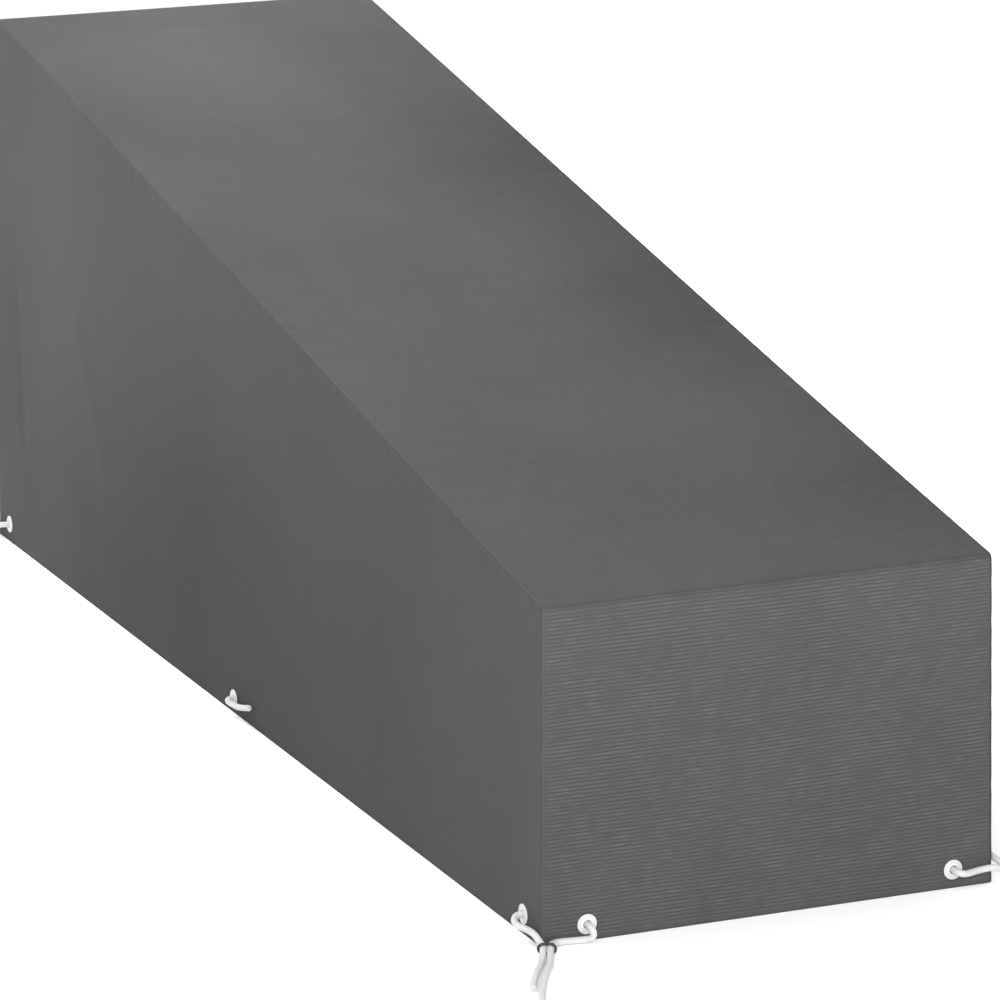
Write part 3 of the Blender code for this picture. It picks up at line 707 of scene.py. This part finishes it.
# at the right foot corner both cords are taut above the floor as far as the band
taut_end_route = np.array([
    (-55.7, -12.0, 24.7), (-55.7, -3.0, 24.7), (-55.7, 4.0, 24.7), (-54.6, 10.6, 24.0),
    (-49.0, 14.4, 22.6), (-40.5, 12.6, 21.4), (-28.0, 8.2, 21.2), (-15.0, 5.8, 21.6),
    (-3.0, 6.8, 22.0), (8.0, 14.0, 21.6), (18.6, 25.8, 20.2), (23.6, 31.8, 19.0),
    (32.0, 43.0, 13.6), (41.0, 58.5, 7.2), (50.0, 78.0, 4.7), (58.5, 96.0, 4.6),
    (65.0, 113.0, 4.6), (70.0, 130.0, 4.6),
]) / 1000
taut_side_route = np.array([
    (-12.0, -53.1, 26.2), (-3.0, -53.1, 26.2), (4.0, -53.1, 26.2), (10.8, -51.6, 26.8),
    (14.8, -45.6, 27.8), (13.2, -36.5, 28.8), (9.4, -25.5, 29.8), (7.8, -13.0, 29.6),
    (10.8, -1.0, 26.6), (17.8, 10.2, 22.6), (25.4, 20.2, 20.2), (31.0, 26.6, 18.8),
    (43.0, 39.6, 12.8), (56.0, 54.5, 6.6), (69.0, 70.5, 4.7), (82.0, 87.0, 4.6),
]) / 1000
# how far past the side, towards the foot end and up each step of a short cord is
short_route = np.array([
    (-12.0, 0.0, 20.8), (-3.0, 0.0, 20.8), (3.5, 0.0, 20.8), (9.0, 2.2, 20.7),
    (10.8, 7.2, 19.8), (8.8, 13.0, 18.2), (6.6, 21.0, 17.2), (5.5, 31.0, 17.6),
    (5.2, 43.0, 20.0), (5.2, 56.0, 23.2), (5.2, 67.0, 26.2), (5.2, 76.0, 28.5),
]) / 1000


def from_corner(side, end, route):
    """Places of a route's steps, mirrored to its own corner of the hem."""
    x = side * (cover_width / 2 + route[:, 0])
    return lean(np.stack([x, end * (cover_length / 2 + route[:, 1]), route[:, 2]], axis=-1))


def smooth_path(steps, stops):
    """Points on a smooth curve through the steps, at shares of its length. From b to c, with
    neighbours a and d, it is b + (c - a) t / 2 + (2a - 5b + 4c - d) t^2 / 2 +
    (3b - 3c + d - a) t^3 / 2."""
    padded = np.vstack([2 * steps[0] - steps[1], steps, 2 * steps[-1] - steps[-2]])
    a, b, c, d = (padded[i : len(padded) - 3 + i, None] for i in range(4))
    t = np.linspace(0, 1, 24, endpoint=False)[:, None]
    bend = (2 * a - 5 * b + 4 * c - d) * t**2 / 2 + (3 * b - 3 * c + d - a) * t**3 / 2
    curve = np.vstack([(b + (c - a) * t / 2 + bend).reshape(-1, 3), steps[-1:]])
    gone = np.r_[0, np.cumsum(np.linalg.norm(np.diff(curve, axis=0), axis=1))]
    places = np.stack([np.interp(stops * gone[-1], gone, curve[:, k]) for k in range(3)], axis=1)
    return places, gone[-1]


def tube_surface(path, radii, closed=False):
    """Rings square to a path. Each starts from the last one's start, turned no more than the
    path turns, so that the tube doesn't twist."""
    around = 28
    if closed:
        forward = unit(np.roll(path, -1, axis=0) - np.roll(path, 1, axis=0))
        path, radii, forward = (np.concatenate([part, part[:1]]) for part in (path, radii, forward))
    else:
        forward = unit(np.gradient(path, axis=0))
    start = [unit(np.cross(forward[0], (0.3, 0.2, 1.0)))]  # no path starts out that way
    for ahead in forward[1:]:
        start.append(unit(start[-1] - ahead * (start[-1] @ ahead)))
    start = np.array(start)
    second = np.cross(forward, start)
    turn = np.linspace(0, 2 * math.pi, around + 1)
    ring = start[:, None] * np.cos(turn)[:, None] + second[:, None] * np.sin(turn)[:, None]
    ring[:, -1] = ring[:, 0]
    points = path[:, None] + ring * radii[:, None, None]
    if closed:
        points[-1] = points[0]
    along = np.r_[0, np.cumsum(np.linalg.norm(np.diff(path, axis=0), axis=1))]
    around_map, along_map = np.meshgrid(turn / (2 * math.pi), along)
    return points, {"braid": np.stack([around_map, along_map], axis=-1)}


def braided_cord():
    """Sixteen strands cross in two directions, over and under by turns: 8 around + 300 along
    counts the ones that lean one way, 8 around - 300 along the others."""
    finish = Finish("braided_cord", Roughness=0.85, Specular_IOR_Level=0.3)
    around, along = finish.uv("braid")
    one, other = around * 8 + along * 300, around * 8 - along * 300
    crossings = one.math("FLOOR", one) + one.math("FLOOR", other)
    odd = abs(one.math("MODULO", crossings, 2))
    strand = abs(one.math("SINE", one * math.pi)) * odd
    strand = strand + abs(one.math("SINE", other * math.pi)) * (1 - odd)
    soil = finish.noise(finish.place(), 55, 3.0)
    fibre = finish.noise(finish.place(), 1400, 2.0)
    # each strand is darker towards its edges: painted shade where the strands meet
    share = 0.42 + strand * 0.45 + (soil - 0.5) * 0.5 + (fibre - 0.5) * 0.2
    finish.feed("Base Color", finish.blend((0.46, 0.46, 0.45), (0.62, 0.62, 0.61), share))
    finish.relief(strand * 0.8 + fibre * 0.2, 0.0006)
    return finish.material


def knot_path(place):
    """A trefoil, pulled tight behind an eyelet: size (2 + cos 3t) cos 2t along,
    size (2 + cos 3t) sin 2t up, and lift sin 3t - behind outwards."""
    size, lift, behind = 0.0033, 0.0042, 0.0126  # the crossings come one cord apart
    middle, along, up, outward = place
    t = np.linspace(0, 2 * math.pi, 121)[:-1]
    reach = size * (2 + np.cos(3 * t))
    flat = np.outer(reach * np.cos(2 * t), along) + np.outer(reach * np.sin(2 * t), up)
    return middle + flat + np.outer(lift * np.sin(3 * t) - behind, outward)


cord_finish = braided_cord()
ties = [
    (left, foot, end_route, side_route), (right, foot, taut_end_route, taut_side_route),
    (left, head, end_route, head_side_route), (right, head, end_route, head_side_route),
]
cord_steps = {}
for side, end, by_end, by_side in ties:
    side_name, end_name = side_names[side], end_names[end]
    steps = from_corner(side, end, by_end)
    cord_steps[f"{end_name}_{side_name}_end"] = steps, f"{end_name}_{side_name}"
    steps = from_corner(side, end, by_side)
    cord_steps[f"{end_name}_{side_name}_side"] = steps, f"{side_name}_{end_name}"
for side, side_name in side_names.items():
    x = side * (cover_width / 2 + short_route[:, 0])
    steps = lean(np.stack([x, middle_along - short_route[:, 1], short_route[:, 2]], axis=-1))
    cord_steps[f"{side_name}_middle"] = steps, f"{side_name}_middle"

tip_length = 0.0028  # of the part that sealing has rounded
tip_steps = np.linspace(1, 0, 9) ** 2 * 0.012  # shares of the length, closer towards the tip
stops = np.r_[np.linspace(0, 1, 200)[:-4], 1 - tip_steps]
cords = {}
for name, (steps, eyelet_name) in cord_steps.items():
    place = eyelet_seats[eyelet_name]
    path, length = smooth_path(steps, stops)
    to_tip = (1 - stops) * length
    rounded = np.sqrt(1 - np.clip(1 - to_tip / tip_length, 0, 1) ** 2)
    radii = cord_thickness / 2 * rounded * (stops > 0)
    cord = surface(f"tie_cord_{name}", tube_surface(path, radii))
    cord.data.materials.append(cord_finish)
    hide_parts(f"cord_{name}")
    ring = knot_path(place)
    knot = surface(f"knot_{name}", tube_surface(ring, np.full(len(ring), cord_thickness / 2), True))
    knot.data.materials.append(cord_finish)
    even_path, _ = smooth_path(steps, np.linspace(0, 1, 61))
    cords[name] = cord, knot, even_path, length, place[0]

# ---------------------------------------------------------------- bands
# Four rings of black rubber. Each is slipped over the two cords of a corner and holds them
# together where they leave it.

band_thickness = 0.0034
band_clearance = 0.0003
cords_apart = 0.0089
band_place = np.array([(4.4, 29.0, 8.2)]) / 1000
taut_band_place = np.array([(22.0, 23.0, 20.2)]) / 1000


def black_rubber():
    """Dull black rubber with a fine grain and pale dust in it."""
    finish = Finish("black_rubber", Specular_IOR_Level=0.4)
    grain = finish.noise(finish.place(), 1500, 3.0)
    dust = finish.noise(finish.place(), 260, 3.0).past(0.58, 0.25)
    finish.feed("Base Color", finish.blend((0.009, 0.009, 0.009), (0.045, 0.044, 0.043), dust))
    finish.feed("Roughness", 0.48 + grain * 0.18)
    finish.relief(grain, 0.00006)
    return finish.material


def band_path(middle, across):
    """An upright oval: half circles round two cords, joined by straight runs over and under."""
    turn = np.linspace(0, 2 * math.pi, 97)[:-1]
    bend = cord_thickness / 2 + band_clearance + band_thickness / 2
    sideways = bend * np.cos(turn) + cords_apart / 2 * np.tanh(np.cos(turn) * 3)
    return middle + np.outer(sideways, across) + np.outer(bend * np.sin(turn), (0, 0, 1))


band_finish = black_rubber()
for side, end, by_end, by_side in ties:
    name = f"{end_names[end]}_{side_names[side]}"
    place = taut_band_place if (side, end) == (right, foot) else band_place
    middle = from_corner(side, end, place)[0]
    near = []
    for steps in (from_corner(side, end, by_end), from_corner(side, end, by_side)):
        near.append(steps[np.linalg.norm(steps - middle, axis=1).argmin()])
    across = unit((near[0] - near[1]) * (1, 1, 0))
    ring = band_path(middle, across)
    radii = np.full(len(ring), band_thickness / 2)
    band = surface(f"rubber_band_{name}", tube_surface(ring, radii, True))
    band.data.materials.append(band_finish)
    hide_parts(f"band_{name}")
    cords[f"{name}_end"] += (band,)

# ---------------------------------------------------------------- floor and light
# A plain white floor under an even white sky, with soft square lamps over and beside the head
# end, on both sides of the foot end and beside the right side.

floor_mesh = bpy.data.meshes.new("floor")
floor_reach, floor_height = 40, -0.0001
corners = [(x * floor_reach, y * floor_reach, floor_height) for x, y in
           ((-1, -1), (1, -1), (1, 1), (-1, 1))]
floor_mesh.from_pydata(corners, [], [(0, 1, 2, 3)])
floor = bpy.data.objects.new("floor", floor_mesh)
floor_finish = Finish("floor_white", Roughness=0.9, Specular_IOR_Level=0.0, Emission_Strength=0.13)
floor_finish.shader.inputs["Base Color"].default_value = (0.95, 0.95, 0.95, 1)
floor_finish.shader.inputs["Emission Color"].default_value = (1, 1, 1, 1)
floor_mesh.materials.append(floor_finish.material)
bpy.context.scene.collection.objects.link(floor)

sky = bpy.data.worlds.new("sky")
sky.use_nodes = True
sky.node_tree.nodes["Background"].inputs["Color"].default_value = (1, 1, 1, 1)
sky.node_tree.nodes["Background"].inputs["Strength"].default_value = 0.88
bpy.context.scene.world = sky


def lamp(name, place, aim, size, power):
    """A square soft lamp that looks from its place towards its aim."""
    data = bpy.data.lights.new(name, "AREA")
    data.size = size
    data.energy = power
    lamp_object = bpy.data.objects.new(name, data)
    lamp_object.location = place
    away = mathutils.Vector(place) - mathutils.Vector(aim)
    lamp_object.rotation_euler = away.to_track_quat("Z", "Y").to_euler()
    lamp_object.visible_camera = False
    bpy.context.scene.collection.objects.link(lamp_object)


lamp("lamp_over_head_end", (-0.7, 2.3, 2.6), (0, 0.6, 0.6), 1.2, 105)
lamp("lamp_beside_head_end", (-2.0, 1.7, 2.4), (-0.2, 0.7, 0.5), 1.2, 16)
lamp("lamp_before_foot_end", (-1.8, -5.0, 1.5), (0, -1.0, 0.2), 2.0, 190)
lamp("lamp_right_of_foot_end", (2.0, -4.6, 2.0), (0, -1.0, 0.2), 2.0, 24)
lamp("lamp_beside_right_side", (4.0, 1.2, 0.7), (0.3, 0.2, 0.3), 1.2, 90)
bpy.context.scene.view_settings.view_transform = "Standard"
